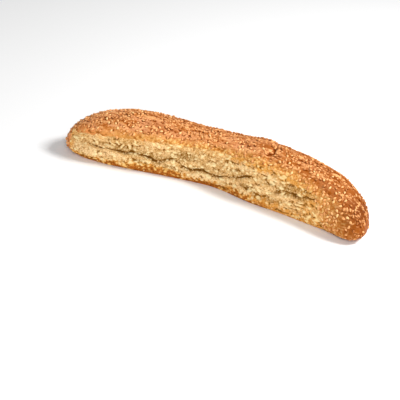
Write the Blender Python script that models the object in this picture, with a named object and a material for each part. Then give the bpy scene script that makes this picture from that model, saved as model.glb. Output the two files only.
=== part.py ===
"""A sesame bread stick about 27 cm long, lying on its flat base.

It is one piece of baked dough. The long axis runs along X, and the stick bows
in plan so that both ends come towards -Y. Its -Y side is a pale face where the
dough was pulled apart after baking: it leans back, it is lumpy, and a long
fissure runs through it. The rest is a browned crust with sesame seeds stuck to
it, fused into the same solid. Blender units are metres and +Z is up.

A place along the stick is a number from -1 at the left tip (-X) to 1 at the
right tip. Each cross-section is two half superellipses that meet at the widest
line, cut flat at the base, with the torn face drawn in on the -Y side.
"""

import bmesh
import bpy
import numpy as np
from mathutils import Matrix, Vector

# Driving dimensions of the whole stick
LENGTH = 0.266
BOW = 0.025  # how far the tips lie in front of the middle, in plan
SET_BACK = 0.0078  # puts the middle of the bowed outline at Y = 0
FAR_WIDTH = 0.0285  # from the long axis to the far side, at the middle
FAR_TAPER = 0.0035  # how much less that is at the tips
WIDEST_HEIGHT = 0.0155  # of the line where the sides are steepest
BASE_CUT = 0.0015  # the rounded underside is cut flat this far up

# The uneven edges, as sizes at nine equal steps from the left tip to the right tip
STEPS = np.linspace(-1.0, 1.0, 9)
CROWN_HEIGHTS = np.array([41.2, 43.7, 43.0, 39.0, 39.9, 43.8, 43.9, 43.3, 40.8]) / 1000
LIP_HEIGHTS = np.array([22.0, 27.0, 29.5, 31.0, 32.5, 36.0, 33.5, 24.5, 16.0]) / 1000
NEAR_WIDTHS = np.array([26.0, 26.5, 26.5, 24.5, 22.0, 28.2, 26.2, 25.2, 32.5]) / 1000

# How the tips close, left and right: the height of the nose, and how late the outlines turn in
NOSE_HEIGHTS = (0.008, 0.0053)
PLAN_POWERS = (6.9, 10.8)
CROWN_POWERS = (4.2, 3.7)

# Roundness of a cross-section: 2 is an ellipse, and more is boxier
UPPER_POWER = 2.25
LOWER_POWER = 4.0
TORN_LOWER_POWER = 6.0

# The torn face: where it starts and ends along the stick, and its form
FACE_STARTS = (-0.97, -0.88)
FACE_ENDS = (0.62, 0.80)
FACE_FLATNESS = 0.75  # 1 is a straight face from the base to the lip
HIGHEST_LIP = 0.97  # as a share of the way from the widest line up to the crown
LEAST_TORN = 0.15  # the face counts as torn, and so has no seeds, from this share up
FACE_LUMP = 0.0009
FACE_LUMPS_ALONG = 17
FACE_LUMPS_UP = 5
FACE_LUMP_FADE = 0.1  # near the lip and the base, as a share of the face's height
LOWER_BULGE = 0.0012
UPPER_VALLEY = 0.0010
UPPER_VALLEY_AT = 0.74  # as a share of the face's height
UPPER_VALLEY_REACH = 0.10

# The long fissure: places along the stick, and its height there as a share of the face's height
FISSURE = np.array([
    (-0.85, 0.60), (-0.70, 0.53), (-0.58, 0.48), (-0.44, 0.52), (-0.38, 0.40), (-0.29, 0.53), (-0.19, 0.34),
    (-0.05, 0.41), (0.10, 0.33), (0.26, 0.22), (0.42, 0.32), (0.53, 0.61), (0.65, 0.72),
])
FISSURE_STOPS, FISSURE_SHARES = FISSURE.T
FISSURE_DEPTH = 0.0026
FISSURE_HALF_WIDTH = 0.035  # as a share of the face's height

# The crust
CRUST_LUMP = 0.0005
CRUST_LUMPS_ALONG = 9
CRUST_LUMPS_ROUND = 2
CREASE_AT = 0.31  # a short crease across the crown
CREASE_HALF_WIDTH = 0.02
CREASE_DEPTH = 0.0012
CREASE_REACH = 4  # more keeps the crease nearer to the top
RELIEF_STARTS = (0.0005, 0.006)  # heights between which relief grows from nothing to full

# The grid that the skin is made on: stations along the stick, and rows round each part of it
STATIONS = 67
BASE_ROWS = 6
FAR_SIDE_ROWS = 4
CROWN_ROWS = 13
UPPER_FACE_ROWS = 6
LOWER_FACE_ROWS = 5
TINY = 1e-9  # keeps divisions at the tips, where every size is 0, from failing
SMOOTH_BELOW = 35  # degrees between faces that are shaded as one surface

# Random draws
FACE_DRAW = 5
SLOW_CRUST_DRAW = 2
QUICK_CRUST_DRAW = 3
SEED_DRAW = 11
NOISE_SIZE = 64

# Sesame seeds
SEED_LENGTH = 0.0033
SEED_WIDTH = 0.0021
SEED_THICKNESS = 0.0013
SEED_SIDES = 5
SEED_WIDEST_AT = 0.12  # in front of the seed's middle, as a share of its length
SEED_RAISE = 0.0002  # the seed's middle above the crust
SEED_SPACING = 0.0064
SEED_TRIES = 2000
LOWEST_SEED = 0.007

CRUST_COLOUR = (0.52, 0.22, 0.08, 1.0)
CRUST_ROUGHNESS = 0.62


def curve_through(along, stops, values):
    """A smooth curve through (stop, value) pairs: cubic pieces with central-difference slopes."""
    slopes = np.gradient(values, stops)
    i = np.clip(np.searchsorted(stops, along, side="right") - 1, 0, len(stops) - 2)
    gap = stops[i + 1] - stops[i]
    t = np.clip((along - stops[i]) / gap, 0.0, 1.0)
    from_start = (2 * t**3 - 3 * t**2 + 1) * values[i] + (t**3 - 2 * t**2 + t) * gap * slopes[i]
    to_end = (3 * t**2 - 2 * t**3) * values[i + 1] + (t**3 - t**2) * gap * slopes[i + 1]
    return from_start + to_end


def ease(low, high, at):
    """0 below low, 1 above high, and a smooth ramp between."""
    t = np.clip((at - low) / (high - low), 0.0, 1.0)
    return t * t * (3 - 2 * t)


def lumps(x, y, draw):
    """Smooth noise from -1 to 1: random heights on a grid of unit squares, joined by smooth ramps."""
    heights = np.random.default_rng(draw).uniform(-1, 1, (NOISE_SIZE, NOISE_SIZE))
    column, row = np.floor(x).astype(int), np.floor(y).astype(int)
    across, up = ease(0, 1, x - column), ease(0, 1, y - row)
    column, next_column = column % NOISE_SIZE, (column + 1) % NOISE_SIZE
    row, next_row = row % NOISE_SIZE, (row + 1) % NOISE_SIZE
    left = heights[column, row] * (1 - up) + heights[column, next_row] * up
    right = heights[next_column, row] * (1 - up) + heights[next_column, next_row] * up
    return left + (right - left) * across


def closing(along, powers):
    """1 along the middle, falling to 0 at each tip as a superellipse does."""
    power = np.where(along < 0, powers[0], powers[1])
    return np.sqrt(np.clip(1 - np.abs(along) ** power, 0.0, None))


def rim(angle, width, height, power):
    """The superellipse's point at an angle from +Y towards +Z, as (across, up)."""
    c, s = np.cos(angle), np.sin(angle)
    return width * np.sign(c) * np.abs(c) ** (2 / power), height * np.sign(s) * np.abs(s) ** (2 / power)


def rim_angle(up, height, power):
    """The angle above or below the widest line at which a superellipse is this far up or down."""
    return np.arcsin(np.clip(up / height, 0.0, HIGHEST_LIP) ** (power / 2))


def rim_reach(up, width, height, power):
    """How far across a superellipse is at a height."""
    return width * np.clip(1 - np.abs(up / height) ** power, 0.0, 1.0) ** (1 / power)


def steps_between(start, end, rows):
    """Equal steps from each station's start up to its end, without the end itself."""
    return start + (end - start) * np.arange(rows) / rows


def face_relief(along, share):
    """How far the torn face stands out at a share of its height: a bulge below the fissure,
    a shallow valley near the lip, lumps, and the fissure itself."""
    fissure = curve_through(along, FISSURE_STOPS, FISSURE_SHARES)
    bulge = LOWER_BULGE * np.sin(np.pi * np.clip(share / fissure, 0.0, 1.0))
    valley = UPPER_VALLEY * np.exp(-(((share - UPPER_VALLEY_AT) / UPPER_VALLEY_REACH) ** 2))
    lump = FACE_LUMP * lumps(along * FACE_LUMPS_ALONG, share * FACE_LUMPS_UP, FACE_DRAW)
    lump = lump * ease(0.0, FACE_LUMP_FADE, share) * ease(0.0, FACE_LUMP_FADE, 1 - share)
    groove = FISSURE_DEPTH * np.exp(-(((share - fissure) / FISSURE_HALF_WIDTH) ** 2))
    return bulge - valley + lump - groove


def crust_relief(along, angle):
    """The crust's slow and quicker unevenness, and the short crease across the crown."""
    slow = lumps(along * CRUST_LUMPS_ALONG, angle * CRUST_LUMPS_ROUND, SLOW_CRUST_DRAW)
    quick = lumps(along * CRUST_LUMPS_ALONG * 2, angle * CRUST_LUMPS_ROUND * 2, QUICK_CRUST_DRAW) / 2
    on_crown = np.clip(np.sin(angle), 0.0, 1.0) ** CREASE_REACH
    crease = CREASE_DEPTH * on_crown * np.exp(-(((along - CREASE_AT) / CREASE_HALF_WIDTH) ** 2))
    return CRUST_LUMP * (slow + quick) - crease


def skin_grid():
    """The stick's skin: points on a grid of stations by rows, and where that grid is torn face.

    The rows of a station go once round it: over the far side and the crown to the lip, down the
    torn face, where one row follows the fissure, and back along the base.
    """
    along = -np.cos(np.linspace(0, np.pi, STATIONS))[:, None]
    plan = closing(along, PLAN_POWERS)
    arch = closing(along, CROWN_POWERS)
    torn = ease(*FACE_STARTS, along) * (1 - ease(*FACE_ENDS, along))
    nose = NOSE_HEIGHTS[0] + (NOSE_HEIGHTS[1] - NOSE_HEIGHTS[0]) * ease(-1, 1, along)
    widest = nose + (WIDEST_HEIGHT - nose) * arch
    above = (curve_through(along, STEPS, CROWN_HEIGHTS) - widest) * arch + TINY
    below = (widest + BASE_CUT) * plan + TINY
    near = curve_through(along, STEPS, NEAR_WIDTHS) * plan
    far = (FAR_WIDTH - FAR_TAPER * along**2) * plan
    near_power = LOWER_POWER + (TORN_LOWER_POWER - LOWER_POWER) * torn

    # Crust: angles from the far foot over the crown to the lip
    lip_angle = np.pi - rim_angle(curve_through(along, STEPS, LIP_HEIGHTS) - widest, above, UPPER_POWER)
    far_foot_angle = -rim_angle(widest, widest + BASE_CUT, LOWER_POWER)
    crown_angles = steps_between(0 * along, lip_angle, CROWN_ROWS)
    side_angles = steps_between(far_foot_angle, 0 * along, FAR_SIDE_ROWS)
    crust_angles = np.concatenate([side_angles, crown_angles], axis=1)
    crust_across, crust_up = rim(
        crust_angles,
        np.where(np.cos(crust_angles) > 0, far, near),
        np.where(np.sin(crust_angles) > 0, above, below),
        np.where(np.sin(crust_angles) > 0, UPPER_POWER, LOWER_POWER),
    )

    # Torn face: shares of its height from the lip down to the foot, drawn in towards a straight line
    near_foot_angle = np.pi + rim_angle(widest, widest + BASE_CUT, near_power)
    lip_across, lip_up = rim(lip_angle, near, above, UPPER_POWER)
    foot_across, foot_up = rim(near_foot_angle, near, below, near_power)
    fissure = curve_through(along, FISSURE_STOPS, FISSURE_SHARES)
    upper_shares = steps_between(1 + 0 * along, fissure, UPPER_FACE_ROWS)
    lower_shares = steps_between(fissure, 0 * along, LOWER_FACE_ROWS)
    shares = np.concatenate([upper_shares, lower_shares], axis=1)
    face_up = foot_up + (lip_up - foot_up) * shares
    upper_reach = rim_reach(face_up, near, above, UPPER_POWER)
    lower_reach = rim_reach(face_up, near, below, near_power)
    face_across = -np.where(face_up > 0, upper_reach, lower_reach)
    straight = foot_across + (lip_across - foot_across) * shares
    face_across += (straight - face_across) * FACE_FLATNESS * torn

    # Base: angles from the near foot under the stick to the far foot
    base_angles = steps_between(near_foot_angle, 2 * np.pi + far_foot_angle, BASE_ROWS)
    base_across, base_up = rim(
        base_angles,
        np.where(np.cos(base_angles) > 0, far, near),
        below,
        np.where(np.cos(base_angles) > 0, LOWER_POWER, near_power),
    )

    across = np.concatenate([crust_across, face_across, base_across], axis=1)
    height = widest + np.concatenate([crust_up, face_up, base_up], axis=1)
    on_face = np.zeros(across.shape, bool)
    on_face[:, FAR_SIDE_ROWS + CROWN_ROWS : -BASE_ROWS] = True

    # Relief pushes the skin straight out, and fades to nothing at the tips and at the base
    angle = np.arctan2(height - widest, across)
    relief = crust_relief(along, angle)
    torn_relief = face_relief(along, shares)
    face_columns = relief[:, FAR_SIDE_ROWS + CROWN_ROWS : -BASE_ROWS]
    face_columns += (torn_relief - face_columns) * torn
    relief *= np.minimum(plan, arch) * ease(*RELIEF_STARTS, height)
    run = np.roll(across, -1, axis=1) - np.roll(across, 1, axis=1)
    rise = np.roll(height, -1, axis=1) - np.roll(height, 1, axis=1)
    step = np.hypot(run, rise) + TINY
    x = np.broadcast_to(along * LENGTH / 2, across.shape)
    y = across + relief * rise / step - BOW * along**2 + SET_BACK
    z = np.maximum(height - relief * run / step, 0.0)
    return np.stack([x, y, z], axis=-1), on_face & (torn > LEAST_TORN)


def skin_mesh(grid):
    """One closed mesh from the grid: bands of triangles between stations, and a fan at each tip."""
    stations, rows = grid.shape[:2]
    inner = grid[1:-1].reshape(-1, 3)
    points = np.concatenate([inner, grid[0, :1], grid[-1, :1]])
    here = np.arange(len(inner)).reshape(stations - 2, rows)
    beside = np.roll(here, -1, axis=1)
    left_tip = np.full(rows, len(inner))
    right_tip = left_tip + 1
    faces = [
        np.stack([here[:-1], beside[:-1], beside[1:]], axis=-1).reshape(-1, 3),
        np.stack([here[:-1], beside[1:], here[1:]], axis=-1).reshape(-1, 3),
        np.stack([left_tip, beside[0], here[0]], axis=-1),
        np.stack([right_tip, here[-1], beside[-1]], axis=-1),
    ]
    mesh = bpy.data.meshes.new("sesame_stick")
    mesh.from_pydata(points.tolist(), [], np.concatenate(faces).tolist())
    return mesh


def seed_mesh():
    """A flattened seed with its length along X: two tips, and a ring of a few sides between them."""
    points = [(-SEED_LENGTH / 2, 0.0, 0.0), (SEED_LENGTH / 2, 0.0, 0.0)]
    for side in range(SEED_SIDES):
        turn = 2 * np.pi * side / SEED_SIDES + np.pi / 2
        width = SEED_WIDTH / 2 * np.cos(turn)
        thickness = SEED_THICKNESS / 2 * np.sin(turn)
        points.append((SEED_WIDEST_AT * SEED_LENGTH, width, thickness))
    shape = bmesh.new()
    for point in points:
        shape.verts.new(point)
    bmesh.ops.convex_hull(shape, input=shape.verts)
    bmesh.ops.triangulate(shape, faces=shape.faces)
    bmesh.ops.recalc_face_normals(shape, faces=shape.faces)
    mesh = bpy.data.meshes.new("seed")
    shape.to_mesh(mesh)
    shape.free()
    return mesh


def seed_places(grid, on_face):
    """Where seeds lie and which way is out: random places in crust cells drawn by their area, and
    none within the spacing of a place that was drawn before it."""
    corners = np.stack([grid[:-1, :-1], grid[:-1, 1:], grid[1:, :-1], grid[1:, 1:]])
    normals = np.cross(corners[3] - corners[0], corners[2] - corners[1])
    on_crust = (corners[..., 2].min(axis=0) > LOWEST_SEED) & ~on_face[:-1, :-1] & ~on_face[:-1, 1:]
    area = np.where(on_crust, np.linalg.norm(normals, axis=-1), 0.0).ravel()
    draw = np.random.default_rng(SEED_DRAW)
    cells = draw.choice(area.size, SEED_TRIES, p=area / area.sum())
    u, v = draw.uniform(0, 1, (2, SEED_TRIES, 1))
    one, two, three, four = corners.reshape(4, -1, 3)[:, cells]
    places = (one * (1 - v) + two * v) * (1 - u) + (three * (1 - v) + four * v) * u
    gaps = np.linalg.norm(places[:, None] - places[None], axis=-1)
    kept = []
    for place in range(SEED_TRIES):
        if not (gaps[place, kept] < SEED_SPACING).any():
            kept.append(place)
    return places[kept], normals.reshape(-1, 3)[cells[kept]]


def seed_collection(grid, on_face):
    """Every seed as its own object, lying flat on the crust and turned at random."""
    seeds = bpy.data.collections.new("seeds")
    bpy.context.scene.collection.children.link(seeds)
    mesh = seed_mesh()
    turns = np.random.default_rng(SEED_DRAW + 1)
    for point, normal in zip(*seed_places(grid, on_face)):
        out = Vector(normal).normalized()
        lie_flat = out.to_track_quat("Z", "X").to_matrix().to_4x4()
        spin = Matrix.Rotation(turns.uniform(0, 2 * np.pi), 4, "Z")
        seed = bpy.data.objects.new("seed", mesh)
        seed.matrix_world = Matrix.Translation(Vector(point) + out * SEED_RAISE) @ lie_flat @ spin
        seeds.objects.link(seed)
    return seeds


def fuse(stick, seeds):
    """Joins the seeds to the stick with one Boolean union, then removes them."""
    union = stick.modifiers.new("fuse_seeds", "BOOLEAN")
    union.operation = "UNION"
    union.operand_type = "COLLECTION"
    union.collection = seeds
    union.solver = "EXACT"
    bpy.context.view_layer.objects.active = stick
    bpy.ops.object.modifier_apply(modifier=union.name)
    for seed in list(seeds.objects):
        bpy.data.objects.remove(seed)
    bpy.data.collections.remove(seeds)


def crust_material():
    material = bpy.data.materials.new("crust")
    material.use_nodes = True
    shader = material.node_tree.nodes["Principled BSDF"]
    shader.inputs["Base Color"].default_value = CRUST_COLOUR
    shader.inputs["Roughness"].default_value = CRUST_ROUGHNESS
    return material


for old_object in list(bpy.data.objects):
    bpy.data.objects.remove(old_object)
skin, torn_part = skin_grid()
sesame_stick = bpy.data.objects.new("sesame_stick", skin_mesh(skin))
bpy.context.scene.collection.objects.link(sesame_stick)
sesame_stick.data.materials.append(crust_material())
fuse(sesame_stick, seed_collection(skin, torn_part))
sesame_stick.data.shade_smooth()
sesame_stick.data.set_sharp_from_angle(angle=np.radians(SMOOTH_BELOW))
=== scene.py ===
"""A soft sesame bread stick on a white table, with its torn side towards the camera.

The stick is one baked piece, so it is one skin, with its sesame seeds and its loose
crumbs as two more pieces that lie on it. Everything is in metres, in the CAD frame:
X runs along the stick, the torn side faces -Y, and the table is at Z = 0.
"""

import bpy
import numpy as np
from mathutils import Matrix


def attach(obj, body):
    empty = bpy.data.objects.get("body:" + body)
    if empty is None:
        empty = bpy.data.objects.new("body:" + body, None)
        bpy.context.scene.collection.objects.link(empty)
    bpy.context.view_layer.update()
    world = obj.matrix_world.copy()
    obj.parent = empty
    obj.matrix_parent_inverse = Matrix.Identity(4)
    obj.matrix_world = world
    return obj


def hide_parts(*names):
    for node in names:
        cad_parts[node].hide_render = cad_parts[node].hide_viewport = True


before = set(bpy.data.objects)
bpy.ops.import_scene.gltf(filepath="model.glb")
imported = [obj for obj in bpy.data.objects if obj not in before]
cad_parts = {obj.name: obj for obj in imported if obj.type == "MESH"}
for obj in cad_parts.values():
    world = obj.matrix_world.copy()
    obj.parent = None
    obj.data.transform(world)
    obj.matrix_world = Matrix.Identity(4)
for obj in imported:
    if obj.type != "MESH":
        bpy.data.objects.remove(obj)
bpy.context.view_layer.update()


# The bread stick
# A bowed stick of soft dough, baked until its thin crust browned, and torn open along one
# side, where it shows the pale crumb. Crust and crumb are one skin, which lies where the CAD
# solid lies and stands for it. Places along it run from -1 at the left tip to 1 at the right.
MM = 1000.0  # millimetres to the metre
LENGTH = 0.266
BOW = 0.025  # how far the tips come forward of the middle
SET_BACK = 0.0078
FAR_WIDTH = 0.0285  # from the middle line back, and how much narrower it is at the tips
FAR_TAPER = 0.0035
WIDEST_HEIGHT = 0.0155
BASE_CUT = 0.0015  # how much of the lower curve the flat base cuts off
STEPS = np.linspace(-1.0, 1.0, 9)  # the places along that the next three are given for
CROWN_HEIGHTS = np.array([41.2, 43.7, 43.0, 39.0, 39.9, 43.8, 43.9, 43.3, 40.8]) / MM
LIP_HEIGHTS = np.array([22.0, 27.0, 29.5, 31.0, 32.5, 36.0, 33.5, 24.5, 16.0]) / MM
NEAR_WIDTHS = np.array([26.0, 26.5, 26.5, 24.5, 22.0, 28.2, 26.2, 25.2, 32.5]) / MM
NOSE_HEIGHTS = (0.008, 0.0053)  # of the left tip and of the right one
PLAN_POWERS = (6.9, 10.8)  # how blunt the left and the right end are, seen from above
CROWN_POWERS = (4.2, 3.7)  # and seen from the side
UPPER_POWER = 2.25
LOWER_POWER = 4.0
TORN_LOWER_POWER = 6.0
HIGHEST_LIP = 0.97  # as a share of the way from the widest line up to the crown
FACE_STARTS = (-0.97, -0.88)  # the torn side comes in between these places along
FACE_ENDS = (0.62, 0.80)  # and goes out between these
FACE_FLATNESS = 0.75
RELIEF_STARTS = (0.0005, 0.006)  # heights over the table between which relief comes in
TINY = 1e-9

# The skin's grid: stations along it, and rows from the far foot up and over the crown, down the
# torn side, and back under the base
STATIONS = 548
FINE_STATIONS = 4001
FAR_SIDE_ROWS = 26
CROWN_ROWS = 70
FACE_ROWS = 74
BASE_ROWS = 10
FACE = slice(FAR_SIDE_ROWS + CROWN_ROWS, FAR_SIDE_ROWS + CROWN_ROWS + FACE_ROWS)
BASE = slice(FACE.stop, None)


def curve_through(along, stops, values):
    """A smooth curve through (stop, value) pairs: cubic pieces with central-difference slopes."""
    slopes = np.gradient(values, stops)
    i = np.clip(np.searchsorted(stops, along, side="right") - 1, 0, len(stops) - 2)
    gap = stops[i + 1] - stops[i]
    t = np.clip((along - stops[i]) / gap, 0.0, 1.0)
    from_start = (2 * t**3 - 3 * t**2 + 1) * values[i] + (t**3 - 2 * t**2 + t) * gap * slopes[i]
    to_end = (3 * t**2 - 2 * t**3) * values[i + 1] + (t**3 - t**2) * gap * slopes[i + 1]
    return from_start + to_end


def ease(low, high, at):
    """0 below low, 1 above high, and 3t^2 - 2t^3 between."""
    t = np.clip((at - low) / (high - low), 0.0, 1.0)
    return t * t * (3 - 2 * t)


def plateau(rise, fall, at):
    """1 between a rise and a fall, and 0 outside them: one ease, times 1 less the other."""
    return ease(*rise, at) * (1 - ease(*fall, at))


def bell(*offsets):
    """A bell curve, 1 in the middle: e to the power of minus the sum of the squared offsets."""
    return np.exp(-sum(offset**2 for offset in offsets))


def lumps(x, y, draw, tile=64):
    """Smooth noise from -1 to 1: random heights on a grid of unit squares, which repeats after a
    tile of them, joined by smooth ramps."""
    heights = np.random.default_rng(draw).uniform(-1, 1, (tile, tile))
    column, row = np.floor(x).astype(int), np.floor(y).astype(int)
    across, up = ease(0, 1, x - column), ease(0, 1, y - row)
    column, next_column = column % tile, (column + 1) % tile
    row, next_row = row % tile, (row + 1) % tile
    left = heights[column, row] * (1 - up) + heights[column, next_row] * up
    right = heights[next_column, row] * (1 - up) + heights[next_column, next_row] * up
    return left + (right - left) * across


def closing(along, powers):
    """1 along the middle, falling to 0 at each tip: the square root of 1 - |along| to a power."""
    power = np.where(along < 0, powers[0], powers[1])
    return np.sqrt(np.clip(1 - np.abs(along) ** power, 0.0, None))


def rim(angle, width, height, power):
    """A superellipse's point at an angle: its cosine and its sine, each to the power 2 / power,
    times the width and the height."""
    c, s = np.cos(angle), np.sin(angle)
    across = width * np.sign(c) * np.abs(c) ** (2 / power)
    up = height * np.sign(s) * np.abs(s) ** (2 / power)
    return across, up


def rim_angle(up, height, power):
    """The angle from the widest line at which a superellipse is this far up or down: the arcsine
    of its share of the height, to half the power."""
    return np.arcsin(np.clip(up / height, 0.0, HIGHEST_LIP) ** (power / 2))


def rim_reach(up, width, height, power):
    """How far across a superellipse is at a height: 1 - |up / height| to the power, rooted."""
    return width * np.clip(1 - np.abs(up / height) ** power, 0.0, 1.0) ** (1 / power)


def stations_along():
    """Places from -1 to 1 at equal steps along the outline that the stick shows from above: the
    outline's running length, read backwards."""
    fine = -np.cos(np.linspace(0, np.pi, FINE_STATIONS))
    x, y = fine * LENGTH / 2, NEAR_WIDTHS.mean() * closing(fine, PLAN_POWERS)
    run = np.concatenate([[0.0], np.cumsum(np.hypot(np.diff(x), np.diff(y)))])
    return np.interp(np.linspace(0, run[-1], STATIONS), run, fine)[:, None]


def steps_between(start, end, rows):
    """Equal steps from each station's start up to its end, without the end itself."""
    return start + (end - start) * np.arange(rows) / rows


# The body: each cross-section is two half superellipses, cut flat at the table, and drawn in
# on the torn side towards a straight line from the lip of the crust down to the foot
along = stations_along()
plan = closing(along, PLAN_POWERS)
arch = closing(along, CROWN_POWERS)
torn_here = plateau(FACE_STARTS, FACE_ENDS, along)
nose = NOSE_HEIGHTS[0] + (NOSE_HEIGHTS[1] - NOSE_HEIGHTS[0]) * ease(-1, 1, along)
widest = nose + (WIDEST_HEIGHT - nose) * arch
above = (curve_through(along, STEPS, CROWN_HEIGHTS) - widest) * arch + TINY
below = (widest + BASE_CUT) * plan + TINY
near = curve_through(along, STEPS, NEAR_WIDTHS) * plan
far = (FAR_WIDTH - FAR_TAPER * along**2) * plan
near_power = LOWER_POWER + (TORN_LOWER_POWER - LOWER_POWER) * torn_here

lip_angle = np.pi - rim_angle(curve_through(along, STEPS, LIP_HEIGHTS) - widest, above, UPPER_POWER)
far_foot_angle = -rim_angle(widest, widest + BASE_CUT, LOWER_POWER)
near_foot_angle = np.pi + rim_angle(widest, widest + BASE_CUT, near_power)
side_angle = steps_between(far_foot_angle, 0 * along, FAR_SIDE_ROWS)
crown_angle = steps_between(0 * along, lip_angle, CROWN_ROWS)
crust_angle = np.concatenate([side_angle, crown_angle], axis=1)
crust_across, crust_up = rim(
    crust_angle,
    np.where(np.cos(crust_angle) > 0, far, near),
    np.where(np.sin(crust_angle) > 0, above, below),
    np.where(np.sin(crust_angle) > 0, UPPER_POWER, LOWER_POWER),
)
share = steps_between(1 + 0 * along, 0 * along, FACE_ROWS)
lip_across, lip_up = rim(lip_angle, near, above, UPPER_POWER)
foot_across, foot_up = rim(near_foot_angle, near, below, near_power)
face_up = foot_up + (lip_up - foot_up) * share
upper_reach = rim_reach(face_up, near, above, UPPER_POWER)
lower_reach = rim_reach(face_up, near, below, near_power)
face_across = -np.where(face_up > 0, upper_reach, lower_reach)
straight = foot_across + (lip_across - foot_across) * share
face_across += (straight - face_across) * FACE_FLATNESS * torn_here
base_angle = steps_between(near_foot_angle, 2 * np.pi + far_foot_angle, BASE_ROWS)
base_across, base_up = rim(
    base_angle,
    np.where(np.cos(base_angle) > 0, far, near),
    below,
    np.where(np.cos(base_angle) > 0, LOWER_POWER, near_power),
)
across = np.concatenate([crust_across, face_across, base_across], axis=1)
height = widest + np.concatenate([crust_up, face_up, base_up], axis=1)

# The large forms, as the CAD solid has them: slow lumps and a short crease on the crust, and on
# the torn side a bulge below the long fissure and a shallow valley below the lip
FISSURE = np.array([  # its course: places along, and shares of the way up the face
    (-0.85, 0.60), (-0.70, 0.53), (-0.58, 0.48), (-0.44, 0.52), (-0.38, 0.40),
    (-0.29, 0.53), (-0.19, 0.34), (-0.05, 0.41), (0.10, 0.33), (0.26, 0.22),
    (0.42, 0.32), (0.53, 0.61), (0.65, 0.72),
])
LOWER_BULGE = 0.0012
UPPER_VALLEY = 0.0010
VALLEY_AT = 0.74  # and its half width, as shares of the way up the face
VALLEY_HALF_WIDTH = 0.10
FACE_LUMP = 0.0009
FACE_LUMPS_ALONG = 17  # in half the stick's length
FACE_LUMPS_UP = 5
FACE_EDGE = 0.1
CRUST_LUMP = 0.0005
CRUST_LUMPS_ALONG = 9
CRUST_LUMPS_ROUND = 2  # to the radian
CREASE_AT = 0.31
CREASE_HALF_WIDTH = 0.02
CREASE_DEPTH = 0.0012

fissure = curve_through(along, *FISSURE.T)
face_form = LOWER_BULGE * np.sin(np.pi * np.clip(share / fissure, 0.0, 1.0))
face_form -= UPPER_VALLEY * bell((share - VALLEY_AT) / VALLEY_HALF_WIDTH)
edge_fade = ease(0.0, FACE_EDGE, share) * ease(0.0, FACE_EDGE, 1 - share)
face_form += FACE_LUMP * lumps(along * FACE_LUMPS_ALONG, share * FACE_LUMPS_UP, 5) * edge_fade
angle = np.arctan2(height - widest, across)
lumps_at = along * CRUST_LUMPS_ALONG, angle * CRUST_LUMPS_ROUND
form = CRUST_LUMP * (lumps(*lumps_at, 2) + lumps(lumps_at[0] * 2, lumps_at[1] * 2, 3) / 2)
on_crown = np.clip(np.sin(angle), 0.0, 1.0) ** 4
form -= CREASE_DEPTH * on_crown * bell((along - CREASE_AT) / CREASE_HALF_WIDTH)
form[:, FACE] += (face_form - form[:, FACE]) * torn_here
form *= np.minimum(plan, arch) * ease(*RELIEF_STARTS, height)
run = np.roll(across, -1, axis=1) - np.roll(across, 1, axis=1)
rise = np.roll(height, -1, axis=1) - np.roll(height, 1, axis=1)
step = np.hypot(run, rise) + TINY
x = np.broadcast_to(along * LENGTH / 2, across.shape)
y = across + form * rise / step - BOW * along**2 + SET_BACK
z = np.maximum(height - form * run / step, 0.0)
skin = np.stack([x, y, z], axis=-1)


def outward(grid):
    """Unit vectors out of a closed grid: the cross product of its steps round and along it."""
    round_it = np.roll(grid, -1, axis=1) - np.roll(grid, 1, axis=1)
    normal = np.cross(round_it, np.gradient(grid, axis=0))
    return normal / (np.linalg.norm(normal, axis=-1, keepdims=True) + TINY)


# Places in millimetres on the skin laid flat: along the stick, and up from the foot of the torn
# side, over its lip and on across the crust. The face counts as equally high all along.
FACE_HEIGHT = 31.0
out = outward(skin)
row_steps = np.linalg.norm(skin[:, 1:] - skin[:, :-1], axis=-1)
row_run = np.concatenate([0 * along, np.cumsum(row_steps, axis=1)], axis=1)
up_face = FACE_HEIGHT - (row_run - row_run[:, FACE.start : FACE.start + 1]) * MM
up_face[:, FACE] = share * FACE_HEIGHT
up_face[:, BASE] = (row_run[:, BASE.start - 1 : BASE.start] - row_run[:, BASE]) * MM
flat_x = np.broadcast_to(along * LENGTH / 2 * MM, up_face.shape)
above_lip = up_face - FACE_HEIGHT
spots = skin * MM


def going(left, right, start, end):
    """Goes over from a left value to a right one, by an ease between two places along."""
    return left + (right - left) * ease(start, end, along)


def grain(places, size, draw, tile=48, shift=7.31):
    """Smooth noise from -1 to 1 with features of a size: random heights on a lattice, which
    repeats after a tile and is shifted for each draw, joined by 3t^2 - 2t^3 ramps."""
    heights = np.random.default_rng(draw).uniform(-1, 1, (tile, tile, tile))
    at = places / size + draw * shift
    cell = np.floor(at).astype(int)
    t = ease(0, 1, at - cell)
    low, high = np.moveaxis(cell % tile, -1, 0), np.moveaxis((cell + 1) % tile, -1, 0)
    total = 0
    for corner in np.ndindex(2, 2, 2):
        spot = tuple(high[axis] if side else low[axis] for axis, side in enumerate(corner))
        ramps = [t[..., axis] if side else 1 - t[..., axis] for axis, side in enumerate(corner)]
        total = total + heights[spot] * np.prod(ramps, axis=0)
    return total


def rough(places, layers):
    """A sum of layers of smooth noise: each a height, times the grain of a size and a draw."""
    return sum(height * grain(places, size, draw) for height, size, draw in layers)


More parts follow.
